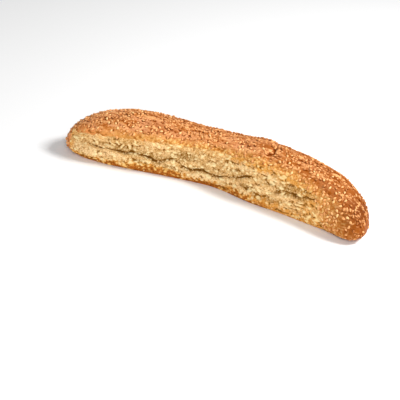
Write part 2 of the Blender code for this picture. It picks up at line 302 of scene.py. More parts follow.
def nearest_cell(places, size, draw, tile=32, shift=3.17):
    """Distance to the nearest of the points scattered one to a cell, as a share of the cell's
    size, and that point's own random number: the least over the cell and those beside it."""
    at = places / size + draw * shift
    cell = np.floor(at).astype(int)
    jitter = np.random.default_rng(draw).uniform(0, 1, (tile, tile, tile, 4))
    best = np.full(at.shape[:-1], np.inf)
    number = np.zeros(at.shape[:-1])
    for offset in np.ndindex(3, 3, 3):
        beside = cell + np.array(offset) - 1
        spot = jitter[tuple(np.moveaxis(beside % tile, -1, 0))]
        gap = np.linalg.norm(beside + spot[..., :3] - at, axis=-1)
        number = np.where(gap < best, spot[..., 3], number)
        best = np.minimum(gap, best)
    return best, number


def to_line(x, y, stops):
    """Distance from points of a plane to a line through stops, and how far along the line the
    nearest place is: the least over its pieces of the distance to the piece's nearest point."""
    best = np.full(x.shape, np.inf)
    where = np.zeros(x.shape)
    for piece, ((x0, y0), (x1, y1)) in enumerate(zip(stops[:-1], stops[1:])):
        dx, dy = x1 - x0, y1 - y0
        t = np.clip(((x - x0) * dx + (y - y0) * dy) / (dx * dx + dy * dy), 0.0, 1.0)
        gap = np.hypot(x - x0 - t * dx, y - y0 - t * dy)
        where = np.where(gap < best, (piece + t) / (len(stops) - 1), where)
        best = np.minimum(best, gap)
    return best, where


# The torn side's fine relief, in millimetres: long fissures that open and narrow, a fan of
# pulled fibres, pits and hollows, flaky layers, clods and granules.
# Each place on it is given along the stick, and as a share of the way up the face.
FISSURES = [
    [(-0.86, 0.68), (-0.77, 0.60), (-0.68, 0.57), (-0.63, 0.54), (-0.58, 0.53), (-0.52, 0.57),
     (-0.46, 0.54), (-0.42, 0.50), (-0.40, 0.43), (-0.37, 0.43), (-0.33, 0.52), (-0.29, 0.58),
     (-0.24, 0.51), (-0.21, 0.40), (-0.16, 0.35), (-0.09, 0.40), (-0.05, 0.37), (0.03, 0.37),
     (0.07, 0.42), (0.12, 0.47), (0.17, 0.56), (0.22, 0.63), (0.28, 0.66)],
    [(0.12, 0.29), (0.17, 0.34), (0.22, 0.33), (0.28, 0.27), (0.34, 0.28), (0.37, 0.31),
     (0.43, 0.35)],
    [(0.40, 0.50), (0.45, 0.60), (0.50, 0.63), (0.56, 0.68), (0.63, 0.79), (0.67, 0.85),
     (0.71, 0.93)],
]
FISSURE_STRENGTHS = (1.0, 0.4, 0.75)
FISSURE_DEPTH = 1.5
FISSURE_HALF_WIDTH = 0.65  # where it is narrow, and how much wider it is where it gapes
FISSURE_GAPING = 0.45
FISSURE_TAPERS = ((0.0, 0.06), (0.93, 1.0))  # the shares of its length that fade at its ends
SHADE_HALF_WIDTHS = (3.6, 1.8)  # of the shade above a fissure, and below it
RIDGE_HEIGHT = 0.9  # of the swollen edge beside a fissure, mostly below it
RIDGE_AT = 3.2
RIDGE_HALF_WIDTH = 1.4
RIDGE_ABOVE = 0.25
SHORT_CREASES = [
    [(-0.71, 0.69), (-0.66, 0.65)],
    [(-0.55, 0.78), (-0.51, 0.80), (-0.47, 0.84)],
    [(0.48, 0.21), (0.56, 0.31)],
    [(0.24, 0.78), (0.34, 0.80)],
    [(0.05, 0.86), (0.13, 0.84)],
]
SHORT_CREASE_STRENGTH = 0.45
SHORT_CREASE_HALF_WIDTH = 0.6
PITS = [  # along, share and radius in millimetres
    (0.217, 0.34, 1.6), (0.337, 0.75, 1.5), (0.301, 0.25, 1.7),
    (0.526, 0.66, 2.6), (0.484, 0.82, 1.8), (0.658, 0.80, 1.4),
]
PIT_DEPTH = 1.6
PIT_STRETCH = 1.4  # how much longer it is along the stick than up the face
HOLLOWS = [
    (0.002, 0.49, 3.0), (0.051, 0.49, 3.0), (0.113, 0.50, 2.5), (-0.09, 0.78, 3.0),
    (-0.05, 0.68, 3.0), (0.07, 0.81, 3.0), (-0.20, 0.83, 3.0), (-0.50, 0.78, 3.0),
]
HOLLOW_DEPTH = 0.7
HOLLOW_STRETCH = 2
PULLED_FIBRES = [  # two tufts, drawn out as the side was torn open
    [(-0.640, 0.62), (-0.730, 0.72)],
    [(-0.640, 0.66), (-0.690, 0.86)],
    [(-0.618, 0.70), (-0.650, 0.93)],
    [(-0.612, 0.60), (-0.590, 0.84)],
    [(-0.550, 0.60), (-0.566, 0.86)],
    [(0.545, 0.52), (0.600, 0.58)],
    [(0.530, 0.44), (0.600, 0.48)],
]
FIBRE_HEIGHT = 1.8
FIBRE_HALF_WIDTH = 1.1
FIBRE_TAPER = 0.8
FIBRE_BED_DEPTH = 0.9
FIBRE_BED_HALF_WIDTH = 2.2


def on_face(stops):
    """Places along and shares up the face, as millimetres."""
    return [(place * LENGTH / 2 * MM, up * FACE_HEIGHT) for place, up in stops]


def patch(x, y, spot, stretch):
    """A soft patch: a bell curve over its radius, drawn out along the stick by a stretch."""
    x0, y0 = on_face([spot[:2]])[0]
    radius = spot[2]
    return bell((x - x0) / (radius * stretch), (y - y0) / radius)


def strokes(places, patch_size, width, draw):
    """Short parallel ridges in patches, from -1 to 1: across each patch, in a direction from its
    own random number, runs a cosine, bent by noise, which fades towards the patch's edge."""
    gap, number = nearest_cell(places, patch_size, draw)
    turn = number * np.pi
    across = places[..., 0] * np.cos(turn) + places[..., 2] * np.sin(turn)
    bend = 2.2 * grain(places, patch_size * 0.6, draw + 1)
    return np.cos(2 * np.pi * across / width + bend) * (1 - ease(0.4, 0.8, gap))


def blurred(field, reach):
    """The mean of a field over a square of the grid, reach cells each way: two running means."""
    for axis in (0, 1):
        total = sum(np.roll(field, shift, axis=axis) for shift in range(-reach, reach + 1))
        field = total / (2 * reach + 1)
    return field


def flecks_on(places, size, draw, half_width=0.38):
    """Small separate humps from 0 to 1: a bell curve round each cell's point, of random height,
    its half width a share of the cell's size."""
    gap, number = nearest_cell(places, size, draw)
    return blurred(bell(gap / half_width) * ease(0.05, 0.6, number), 1)


# The fissures, creases and pits, on places that wander, so that nothing runs straight
face_x = flat_x + rough(spots, [(0.9, 4.0, 23), (0.2, 1.1, 34)])
flat_z = up_face + rough(spots, [(0.8, 5.0, 21)])
face_z = flat_z + rough(spots, [(0.45, 1.8, 22)])
opening = ease(-0.7, 0.4, grain(spots, 6.0, 24))
line = np.zeros(up_face.shape)
near_line = np.zeros(up_face.shape)
ridge = np.zeros(up_face.shape)
fine_face = np.zeros(up_face.shape)
for stops, strength in zip(FISSURES, FISSURE_STRENGTHS):
    gap, where = to_line(face_x, face_z, on_face(stops))
    under = ease(-1.0, 1.0, np.interp(face_x, *np.array(on_face(stops)).T) - face_z)
    shade_width = SHADE_HALF_WIDTHS[0] + (SHADE_HALF_WIDTHS[1] - SHADE_HALF_WIDTHS[0]) * under
    tapered = strength * plateau(*FISSURE_TAPERS, where) * (0.5 + 0.5 * opening)
    beside = tapered * (RIDGE_ABOVE + (1 - RIDGE_ABOVE) * under)
    line = np.maximum(line, bell(gap / (FISSURE_HALF_WIDTH + FISSURE_GAPING * opening)) * tapered)
    near_line = np.maximum(near_line, bell(gap / shade_width) * tapered)
    ridge = np.maximum(ridge, bell((gap - RIDGE_AT) / RIDGE_HALF_WIDTH) * beside)
fine_face += RIDGE_HEIGHT * ridge
for stops in SHORT_CREASES:
    gap, _ = to_line(face_x, face_z, on_face(stops))
    line = np.maximum(line, SHORT_CREASE_STRENGTH * bell(gap / SHORT_CREASE_HALF_WIDTH))
fine_face -= FISSURE_DEPTH * line
for pit in PITS:
    fine_face -= PIT_DEPTH * patch(face_x, face_z, pit, PIT_STRETCH)
for hollow in HOLLOWS:
    fine_face -= HOLLOW_DEPTH * patch(face_x, face_z, hollow, HOLLOW_STRETCH)

# The pulled fibres, each in a shallow bed
fibres = np.zeros(up_face.shape)
near_fibres = np.zeros(up_face.shape)
for stops in PULLED_FIBRES:
    gap, where = to_line(face_x, flat_z, on_face(stops))
    tapered = 1 - FIBRE_TAPER * ease(0.4, 1.0, np.abs(2 * where - 1))
    fibres = np.maximum(fibres, bell(gap / FIBRE_HALF_WIDTH) * tapered)
    near_fibres = np.maximum(near_fibres, bell(gap / FIBRE_BED_HALF_WIDTH))
fine_face += FIBRE_HEIGHT * fibres - FIBRE_BED_DEPTH * near_fibres
calm = 1 - 0.8 * near_fibres

# Slow swells, flaky layers, clods and granules, coarser on the right half, and calmer beside the
# fibres. Each pattern is drawn out along an axis where its scale there is below 1.
SWELL_SCALES = [0.35, 0.8, 1.0]
SWELL_LAYERS = [(1.0, 6.5, 44), (0.6, 3.4, 45)]
SWELL_HEIGHT = 0.95
FLAKE_SCALES = [0.5, 0.8, 1.0]
FLAKE_SIZES = (3.8, 1.9)
CLOD_SCALES = [0.7, 1.0, 1.0]
CLOD_SIZE = 5.5
FLECK_SCALES = [0.65, 1.0, 1.0]
FLECK_SIZES = (3.1, 2.0)
STROKE_HEIGHT = 0.2
STROKE_SIZES = (4.5, 2.8)  # of a patch of strokes, and from one stroke to the next
RIGHT_HALF = {"start": 0.0, "end": 0.35}

swell = rough(spots * SWELL_SCALES, SWELL_LAYERS)
flaky = spots * FLAKE_SCALES
layers = np.abs(grain(flaky, FLAKE_SIZES[0], 26)) + 0.35 * np.abs(grain(flaky, FLAKE_SIZES[1], 27))
clods, _ = nearest_cell(spots * CLOD_SCALES, CLOD_SIZE, 28)
warp = np.stack([grain(spots, 3.0, draw) for draw in (91, 92, 93)], axis=-1)
lengthwise = spots * FLECK_SCALES
flecks = flecks_on(lengthwise + 1.2 * warp, FLECK_SIZES[0], 29)
flecks = np.maximum(flecks, 0.9 * flecks_on(lengthwise + 0.7 * warp, FLECK_SIZES[1], 94))
granules = flecks + STROKE_HEIGHT * strokes(spots, *STROKE_SIZES, 81) + rough(spots, [(0.3, 2.6, 37)])
fine_face -= going(left=0.15, right=0.60, **RIGHT_HALF) * (layers - 0.45)
fine_face += calm * going(left=0.5, right=1.4, **RIGHT_HALF) * (0.3 - clods**2)
fine_face += calm * granules + SWELL_HEIGHT * swell

# The crust's fine relief: soft wrinkles, dimples where the skin of the dough burst, and a short
# fold on the crown
WRINKLE_SCALES = [0.6, 1.0, 1.0]
WRINKLE_SIZES = (5.0, 2.4, 1.3)
WRINKLE_HEIGHTS = (0.55, 0.24)
DIMPLE_SIZE = 3.0
DIMPLE_DEPTH = 0.18
CROWN_FOLD = [(0.318, 1.63), (0.325, 1.47), (0.305, 1.41), (0.292, 1.35)]
FOLD_DEPTH = 1.2
FOLD_HALF_WIDTH = 1.1

wrinkly = spots * WRINKLE_SCALES
fine_crust = WRINKLE_HEIGHTS[0] * grain(wrinkly, WRINKLE_SIZES[0], 33)
fine_crust += WRINKLE_HEIGHTS[1] * (1 - 2 * np.abs(grain(wrinkly, WRINKLE_SIZES[1], 31)))
small_wrinkles = going(left=0.26, right=0.20, start=-0.5, end=0.1)
fine_crust += small_wrinkles * grain(wrinkly, WRINKLE_SIZES[2], 32)
dimples, _ = nearest_cell(spots, DIMPLE_SIZE, 36)
fine_crust -= DIMPLE_DEPTH * (1 - ease(0.05, 0.26, dimples))
fold_gap, _ = to_line(flat_x, up_face, on_face(CROWN_FOLD))
fold = bell(fold_gap / FOLD_HALF_WIDTH)
fine_crust -= FOLD_DEPTH * fold

# Where the crust is darker than elsewhere: along the top of the crown, apart from its left end,
# and in three patches beside it
CREST_SHARES = (1.5, 1.9)
CREST_STARTS = (-0.55, -0.3)
CREST_DARKENING = 0.42
DARKER_PATCHES = [  # along, share, radius in millimetres, and how brown
    (-0.74, 1.55, 7.0, 0.3), (-0.40, 1.40, 9.0, 0.8), (0.27, 1.60, 6.0, 0.9),
]
DARKER_PATCH_STRETCH = 1.6

crest = ease(*CREST_SHARES, up_face / FACE_HEIGHT) * ease(*CREST_STARTS, along)
darker_crust = CREST_DARKENING * crest
for spot in DARKER_PATCHES:
    darker_crust += spot[3] * patch(flat_x, up_face, spot, DARKER_PATCH_STRETCH)

# Where the crumb shows: below an uneven line along the lip, and up to an uneven right end, which
# lies further right at the foot than at the lip
CRUMB_STARTS = (-0.965, -0.925)
END_LEAN = 0.11
ragged = rough(spots, [(1.3, 4.0, 52), (0.8, 1.6, 53)])
below_lip = ease(-0.9, 0.9, ragged - above_lip)
lean = END_LEAN * (0.5 - np.clip(up_face / FACE_HEIGHT, 0.0, 1.0))
torn_across = ease(*CRUMB_STARTS, along) * (1 - ease(*FACE_ENDS, along - lean))
torn_across = ease(0.2, 0.8, torn_across + 0.2 * ragged)
torn = below_lip * torn_across * ease(-1.0, 0.0, up_face)

# The band above the lip is thinner and grainy, and the crust ends above it in a low ragged step
BAND_TOP = (5.5, 7.2)
BAND_STEP = 0.1
BAND_FLECK_SIZES = (2.2, 1.6)
FINE_FLECKS_START = (-0.2, 0.1)
crust_edge = ease(*BAND_TOP, above_lip + rough(spots, [(2.0, 6.0, 55), (1.2, 1.9, 56)]))
on_band = torn_across * (1 - crust_edge)
fine_flecks = ease(*FINE_FLECKS_START, along) * flecks_on(spots + 0.4 * warp, BAND_FLECK_SIZES[1], 86)
band_flecks = np.maximum(flecks_on(spots + 0.5 * warp, BAND_FLECK_SIZES[0], 85), fine_flecks)
band_flecks = on_band * band_flecks
fine_crust += going(left=0.35, right=0.55, **RIGHT_HALF) * band_flecks - BAND_STEP * on_band


def scattered(surface, cell_weight, tries, spacing, draw):
    """Random places on a surface's cells, drawn by their area times a weight, and none within the
    spacing of one drawn before it: the cell's corners blended by two random shares."""
    corners = np.stack([surface[:-1, :-1], surface[:-1, 1:], surface[1:, :-1], surface[1:, 1:]])
    normal = np.cross(corners[3] - corners[0], corners[2] - corners[1])
    area = (np.linalg.norm(normal, axis=-1) * cell_weight).ravel()
    drawn = np.random.default_rng(draw)
    cells = drawn.choice(area.size, tries, p=area / area.sum())
    u, v = drawn.uniform(0, 1, (2, tries, 1))
    one, two, three, four = corners.reshape(4, -1, 3)[:, cells]
    places = (one * (1 - v) + two * v) * (1 - u) + (three * (1 - v) + four * v) * u
    kept = np.zeros(tries, bool)
    for i in range(tries):
        gaps = np.linalg.norm(places[kept] - places[i], axis=-1)
        kept[i] = not (gaps < spacing).any()
    return places[kept], cells[kept]


# Where the seeds lie: in clumps on the crust, few on the pale band above the lip, fewer towards
# the right end, and none in the fold
SEED_SPACING = 0.0026
SEED_TRIES = 3600
LOWEST_SEED = 0.004
CLUMP_SIZE = 0.008
SPARSEST = 0.2  # the weight between clumps
BARE_BAND = (2.5, 8.0)  # millimetres above the lip over which the cover comes back
BAND_BARENESS = 0.88
crust_cells = skin[:-1, :-1]
clumping = ease(-0.7, 0.5, grain(crust_cells, CLUMP_SIZE, 41))
band = torn_here * (1 - ease(*BARE_BAND, above_lip))
seed_weight = SPARSEST + (1 - SPARSEST) * clumping
seed_weight = seed_weight * (crust_cells[..., 2] > LOWEST_SEED) * (1 - torn[:-1, :-1]) ** 3
seed_weight = seed_weight * (1 - BAND_BARENESS * band[:-1, :-1])
seed_weight = seed_weight * going(left=1.0, right=0.6, start=0.6, end=0.85)[:-1]
seed_weight[:, BASE.start - 1 :] = 0.0
seed_places, seed_cells = scattered(skin, seed_weight, SEED_TRIES, SEED_SPACING, 42)
out_of_fold = fold[:-1, :-1].ravel()[seed_cells] < 0.3
seed_places, seed_cells = seed_places[out_of_fold], seed_cells[out_of_fold]
seed_out = out[:-1, :-1].reshape(-1, 3)[seed_cells]

# The crust sinks round each seed, more on one side, where the dough drew back from it, and
# painted shade darkens it there.
RING_SHIFT = 0.0004
RING_EDGES = (0.0009, 0.0018)
RING_SEARCH = 0.0032
RING_DEPTH = 0.38
RING_ON_BAND = 0.6  # how much weaker it is there
ring = np.zeros(up_face.shape)
ring_centres = seed_places + np.random.default_rng(43).normal(0, RING_SHIFT, seed_places.shape)
for station in range(STATIONS):
    close = ring_centres[np.abs(ring_centres[:, 0] - skin[station, 0, 0]) < RING_SEARCH]
    if len(close):
        gaps = np.linalg.norm(skin[station, :, None] - close[None], axis=-1).min(axis=1)
        ring[station] = 1 - ease(*RING_EDGES, gaps)
ring *= (1 - RING_ON_BAND * on_band) * going(left=1.3, right=1.0, start=-0.5, end=0.0)
fine_crust -= RING_DEPTH * ring
# The fold takes the same painted shade
ring = np.maximum(ring, 0.9 * fold)

# The fine relief moves the skin along its normals, and fades at the table and at the tips
FINE_STARTS = (0.0001, 0.0022)
FINE_AT_TIPS = (0.0, 0.35)
fine = fine_crust + (fine_face - fine_crust) * torn
fine *= ease(*FINE_STARTS, skin[..., 2]) * ease(*FINE_AT_TIPS, np.minimum(plan, arch))
skin = skin + out * fine[..., None] / MM
skin[..., 2] = np.maximum(skin[..., 2], 0.0)

# What the finish reads: how deep each point lies below those round it, for painted shade in
# hollows and painted highlights on high places, how torn and how brown it is, and its painted
# shade. Brown is full on the crust and fades on the band above the lip. On the torn side it comes
# back towards the foot, partly as painted shade under the stick, under the lip and towards both
# ends, with a grainy edge. Painted shade gathers round the fissures, and turns to painted
# highlight on the fibres, ridges and swells.
BAND_UNBAKED = 2.0  # millimetres above the lip where brown starts, and over which it comes in
BAND_BAKING = 6.5
FOOT_TOP = 0.24  # how much of the face the baked foot takes up, and how much more where higher
FOOT_HIGHER = 0.12
HIGHER_FOOT = ((-0.74, -0.58), (-0.45, -0.05))
FIRM_FOOT = ((-0.6, -0.3), (0.1, 0.4))
END_BAKING = (0.75, 0.97)

cavity = (blurred(fine, 2) - fine) * 0.9 + (blurred(fine, 6) - fine) * 0.7
shade = 1.4 * near_line - ridge - 1.2 * swell + 0.8 * near_fibres - 2.0 * fibres
slow = grain(spots, 9.0, 51)
quick = grain(spots, 2.2, 54)
bake = np.clip((above_lip - BAND_UNBAKED + 1.6 * slow + 1.4 * quick) / BAND_BAKING, 0.0, 1.0)
bake = np.maximum(bake, 0.5 * crust_edge)

uneven_share = up_face / FACE_HEIGHT + 0.06 * slow + 0.09 * quick + rough(spots, [(0.05, 1.2, 57)])
foot_top = going(left=FOOT_TOP, right=FOOT_TOP + FOOT_HIGHER, start=0.20, end=0.45)
foot_top = foot_top + FOOT_HIGHER * plateau(*HIGHER_FOOT, along)
# At the foot the colour is partly baking and partly painted shade under the stick, fuller in the middle
foot_start = 0.1 + 0.4 * plateau(*FIRM_FOOT, along)
foot_gold_and_shade = 1 - ease(foot_start, 1.0, uneven_share / foot_top)
foot_gold_and_shade = foot_gold_and_shade * going(left=1.0, right=0.5, start=0.2, end=0.5)
lip_gold = ease(going(left=0.74, right=0.68, **RIGHT_HALF), 1.0, uneven_share)
lip_gold = lip_gold * going(left=0.22, right=0.52, start=-0.1, end=0.2)
right_gold = 0.45 * ease(0.4, 0.75, along + 0.05 * quick)
left_gold = 0.5 * (1 - ease(-0.96, -0.88, along + 0.02 * quick))
gold = np.maximum(np.maximum(foot_gold_and_shade, lip_gold), right_gold + left_gold)
bake = bake + (gold - bake) * torn

end_brown = ease(*END_BAKING, along - lean + 0.04 * slow + 0.05 * quick)
end_brown += 0.5 * ease(0.92, 0.98, -along)
bake = np.maximum(bake, (0.35 + 0.65 * end_brown) * (1 - torn_here) * (1 - torn))
bake[:, BASE] = 1.0


def closed_mesh(name, grid, attributes):
    """One closed mesh from a grid of stations by rows: quads between stations, and a fan of
    triangles at each tip. Attributes are fields on the same grid, stored on its points."""
    stations, rows = grid.shape[:2]
    here = np.arange((stations - 2) * rows).reshape(stations - 2, rows)
    beside = np.roll(here, -1, axis=1)
    left_tip = np.full(rows, here.size)
    quads = np.stack([here[:-1], beside[:-1], beside[1:], here[1:]], axis=-1).reshape(-1, 4)
    left_fan = np.stack([left_tip, beside[0], here[0]], axis=-1)
    right_fan = np.stack([left_tip + 1, here[-1], beside[-1]], axis=-1)
    faces = quads.tolist() + left_fan.tolist() + right_fan.tolist()

    def in_order(field):
        """The field at the mesh's points: all stations between the tips, then both tips."""
        between_tips = field[1:-1].reshape((-1,) + field.shape[2:])
        return np.concatenate([between_tips, field[0, :1], field[-1, :1]])

    mesh = bpy.data.meshes.new(name)
    mesh.from_pydata(in_order(grid).tolist(), [], faces)
    for attribute, field in attributes.items():
        mesh.attributes.new(attribute, "FLOAT", "POINT").data.foreach_set("value", in_order(field))
    mesh.shade_smooth()
    piece = bpy.data.objects.new(name, mesh)
    bpy.context.scene.collection.objects.link(piece)
    return piece


class Wire:
    """A socket of a material. Sums on it add Math nodes, and node() adds any other node."""

    def __init__(self, tree, socket=None):
        self.tree = tree
        self.socket = socket

    def node(self, kind, settings, inputs, output=0):
        """Adds a node: first its settings, then the values or links of its sockets."""
        added = self.tree.nodes.new("ShaderNode" + kind)
        for name, value in settings.items():
            setattr(added, name, value)
        for name, value in inputs.items():
            if isinstance(value, Wire):
                self.tree.links.new(value.socket, added.inputs[name])
            else:
                added.inputs[name].default_value = value
        return Wire(self.tree, added.outputs[output])

    def math(self, operation, first, second):
        """A Math node on two numbers, whose sockets share one name and go by their order."""
        return self.node("Math", {"operation": operation}, {0: first, 1: second})

    def __add__(self, other):
        return self.math("ADD", self, other)

    def __rsub__(self, other):
        return self.math("SUBTRACT", other, self)

    def __mul__(self, other):
        return self.math("MULTIPLY", self, other)

    __radd__ = __add__

    def above(self, low, high):
        """0 where this is below low, 1 above high, and a smooth ramp between."""
        settings = {"interpolation_type": "SMOOTHSTEP"}
        return self.node("MapRange", settings, {"Value": self, "From Min": low, "From Max": high})

    def below(self, low, high):
        """1 where this is below low, 0 above high, and a smooth ramp between."""
        return 1 - self.above(low, high)

    def mix(self, first, second):
        """Blends two colours, with this as the share of the second: a Mix node has its colours
        at sockets 6 and 7, and gives a colour at 2."""
        return self.node("Mix", {"data_type": "RGBA"}, {0: self, 6: first, 7: second}, 2)

    def read(self, attribute):
        """The number that the mesh holds under this name."""
        return self.node("Attribute", {"attribute_name": attribute}, {}, "Fac")

    def noise(self, place, scale, detail):
        """Noise from 0 to 1 at a place, with about `scale` features to the metre."""
        return self.node("TexNoise", {}, {"Vector": place, "Scale": scale, "Detail": detail})

    def drive(self, shader, socket):
        """Links this to a socket of the shader."""
        self.tree.links.new(self.socket, shader.inputs[socket])


def screen(red, green, blue):
    """A colour as it reads on a screen, 0 to 255, as the linear colour that shaders take: a
    straight line for the darkest, and a power of 2.4 above them."""
    share = np.array([red, green, blue]) / 255
    linear = np.where(share < 0.04045, share / 12.92, ((share + 0.055) / 1.055) ** 2.4)
    return (*linear.tolist(), 1.0)


def new_finish(name):
    """A material, a wire in its tree to build from, and its shader."""
    material = bpy.data.materials.new(name)
    material.use_nodes = True
    return material, Wire(material.node_tree), material.node_tree.nodes["Principled BSDF"]


# The bread's colours: the full crust, the thin golden crust on the band above the lip, and the
# crumb, with their painted shades and highlights. Grains are the finest specks of a pattern, and
# flecks stand up from the surface and carry a painted highlight.
CRUST = screen(188, 110, 46)
CRUST_PATCH = screen(228, 156, 106)
CRUST_PALE = screen(234, 165, 112)
CRUST_DARK = screen(170, 90, 26)
CRUST_PALE_GRAIN = screen(246, 180, 124)
CRUST_DARK_GRAIN = screen(158, 82, 24)
CRUST_PAINTED_HIGHLIGHT = screen(236, 172, 112)
CRUST_DIP_SHADE = screen(130, 60, 2)
CRUST_SEED_SHADE = screen(132, 60, 6)
CRUST_DARKER = screen(162, 88, 30)
CRUST_RIGHT_END = screen(150, 76, 10)
CRUST_RIGHT_TIP_SHADE = screen(116, 54, 4)
GOLD = screen(207, 138, 62)
GOLD_PALE = screen(222, 158, 86)
GOLD_LEFT_END = screen(233, 144, 80)
GOLD_PALE_GRAIN = screen(252, 210, 134)
GOLD_DARK_GRAIN = screen(180, 106, 40)
GOLD_FLECK_HIGHLIGHT = screen(245, 200, 122)
GOLD_DIP_SHADE = screen(172, 104, 38)
CRUMB = screen(225, 178, 114)
CRUMB_PATCH = screen(236, 190, 130)
CRUMB_DARK = screen(209, 161, 96)
CRUMB_SHADE = screen(172, 129, 68)
CRUMB_PAINTED_HIGHLIGHT = screen(247, 206, 150)
CRUMB_PALE_GRAIN = screen(253, 218, 161)
CRUMB_DARK_GRAIN = screen(164, 114, 54)
CRUMB_DIP_SHADE = screen(138, 90, 26)
CRUMB_CRACK_SHADE = screen(122, 78, 20)
CRUMB_FLECK_HIGHLIGHT = screen(252, 227, 170)
GOLDEN_CRUMB = screen(204, 131, 50)
GOLDEN_CRUMB_PALE = screen(236, 170, 84)
TOASTED_CRUMB = screen(142, 72, 14)
TOASTED_CRUMB_PALE = screen(194, 116, 44)
TOASTED_FLECK_HIGHLIGHT = screen(244, 196, 110)

# The scales of its patterns, in features to the metre, and where it changes, in metres
PATCH_SCALE = 70.0
MOTTLE_SCALE = 240.0
SPECKLE_SCALE = 560.0
GRAIN_SCALE = 1000.0
GRIT_SCALE = 2200.0
DRAWN_OUT = (0.45, 1.0, 1.0)  # patches and mottles run along the stick
RIGHT_END_BROWNS = (-0.01, 0.13)
RIGHT_TIP_SHADED = (0.108, 0.127)
TIP_TOP = (0.012, 0.025)
LEFT_END_GOLD = (-0.118, -0.075)
SPECKLES_START = (-0.10, -0.02)
GRIT_STRENGTH = 0.5
GRIT_HEIGHT = 0.0005
BREAD_ROUGHNESS = 0.5  # of the crust, and how much more the crumb has
CRUMB_ROUGHER = 0.35
BREAD_GLOSS = 0.06


def bread_finish():
    """Crust and crumb in one finish: the crumb's colours where the skin is torn, the crust's
    elsewhere, both with painted shade in hollows and painted highlights on high places."""
    material, wire, shader = new_finish("crust_and_crumb")
    place = wire.node("TexCoord", {}, {}, "Object")
    place_along = wire.node("SeparateXYZ", {}, {"Vector": place}, "X")
    above_table = wire.node("SeparateXYZ", {}, {"Vector": place}, "Z")
    brown, torn_part, dip, crack_shade, seed_shade, fleck_highlight, shade = (
        wire.read(name) for name in ("bake", "torn", "cavity", "crack_shade", "ring", "fleck_highlight", "shade")
    )
    long_place = wire.node("VectorMath", {"operation": "MULTIPLY"}, {0: place, 1: DRAWN_OUT})
    patches = wire.noise(long_place, PATCH_SCALE, 2.0)
    mottle = wire.noise(long_place, MOTTLE_SCALE, 3.0)
    grains = wire.noise(place, GRAIN_SCALE, 2.0)
    speckle = wire.noise(place, SPECKLE_SCALE, 1.0)

    # The full crust
    crust = patches.above(0.40, 0.60).mix(CRUST, CRUST_PATCH)
    crust = mottle.above(0.50, 0.70).mix(crust, CRUST_PALE)
    crust = mottle.below(0.3, 0.46).mix(crust, CRUST_DARK)
    crust = (grains.above(0.52, 0.68) * 0.55).mix(crust, CRUST_PALE_GRAIN)
    crust = (grains.below(0.32, 0.48) * 0.55).mix(crust, CRUST_DARK_GRAIN)
    crust = (place_along.above(*RIGHT_END_BROWNS) * 0.95).mix(crust, CRUST_RIGHT_END)
    # Painted shade over the upper part of the right tip
    tip_shade = place_along.above(*RIGHT_TIP_SHADED) * above_table.above(*TIP_TOP)
    crust = tip_shade.mix(crust, CRUST_RIGHT_TIP_SHADE)
    crust = wire.read("darker_crust").mix(crust, CRUST_DARKER)
    # Painted shade round the seeds and along the fold
    crust = (seed_shade * (0.3 + grains)).above(0.25, 1.3).mix(crust, CRUST_SEED_SHADE)

    # The golden crust, then painted shade in the dips of both and painted highlights on their high
    # places
    golden = grains.above(0.35, 0.65).mix(GOLD, GOLD_PALE)
    golden = (place_along.below(*LEFT_END_GOLD) * 0.85).mix(golden, GOLD_LEFT_END)
    speckled = place_along.above(*SPECKLES_START) * 0.75
    golden = (speckle.above(0.56, 0.65) * speckled).mix(golden, GOLD_PALE_GRAIN)
    golden = (speckle.below(0.38, 0.48) * speckled).mix(golden, GOLD_DARK_GRAIN)
    # Painted highlight on the band's flecks
    golden = fleck_highlight.above(0.15, 0.65).mix(golden, GOLD_FLECK_HIGHLIGHT)
    crust = brown.mix(golden, crust)
    crust = dip.above(0.06, 0.45).mix(crust, brown.mix(GOLD_DIP_SHADE, CRUST_DIP_SHADE))
    crust = dip.below(-0.6, -0.1).mix(crust, CRUST_PAINTED_HIGHLIGHT)

    # The crumb, golden and then toasted where it is baked, and at the foot partly darkened by painted
    # shade
    crumb = patches.above(0.38, 0.62).mix(CRUMB, CRUMB_PATCH)
    crumb = mottle.below(0.35, 0.55).mix(crumb, CRUMB_DARK)
    # Painted shade round the fissures, and painted highlights on the ridges, swells and fibres
    crumb = (shade.above(0.1, 1.3) * 0.9).mix(crumb, CRUMB_SHADE)
    crumb = shade.below(-1.0, -0.2).mix(crumb, CRUMB_PAINTED_HIGHLIGHT)
    crumb = (grains.above(0.5, 0.68) * 0.8).mix(crumb, CRUMB_PALE_GRAIN)
    crumb = (grains.below(0.32, 0.5) * 0.65).mix(crumb, CRUMB_DARK_GRAIN)
    golden_crumb = grains.above(0.35, 0.65).mix(GOLDEN_CRUMB, GOLDEN_CRUMB_PALE)
    toasted = grains.above(0.35, 0.65).mix(TOASTED_CRUMB, TOASTED_CRUMB_PALE)
    crumb = brown.above(0.0, 0.55).mix(crumb, golden_crumb)
    crumb = brown.above(0.5, 1.0).mix(crumb, toasted)
    # Painted shade in the crumb's dips
    crumb = dip.above(0.06, 0.6).mix(crumb, CRUMB_DIP_SHADE)
    # Painted highlight on the crumb's flecks and fibres
    crumb = fleck_highlight.above(0.18, 0.6).mix(crumb, brown.mix(CRUMB_FLECK_HIGHLIGHT, TOASTED_FLECK_HIGHLIGHT))
    # Painted shade in the fissures and short creases
    crumb = crack_shade.above(0.15, 0.9).mix(crumb, CRUMB_CRACK_SHADE)

    torn_share = torn_part.above(0.2, 0.8)
    torn_share.mix(crust, crumb).drive(shader, "Base Color")
    (torn_share * CRUMB_ROUGHER + BREAD_ROUGHNESS).drive(shader, "Roughness")
    grit = grains * 0.6 + wire.noise(place, GRIT_SCALE, 2.0) * 0.4
    relief = {"Height": grit, "Strength": GRIT_STRENGTH, "Distance": GRIT_HEIGHT}
    wire.node("Bump", {}, relief).drive(shader, "Normal")
    shader.inputs["Specular IOR Level"].default_value = BREAD_GLOSS
    return material


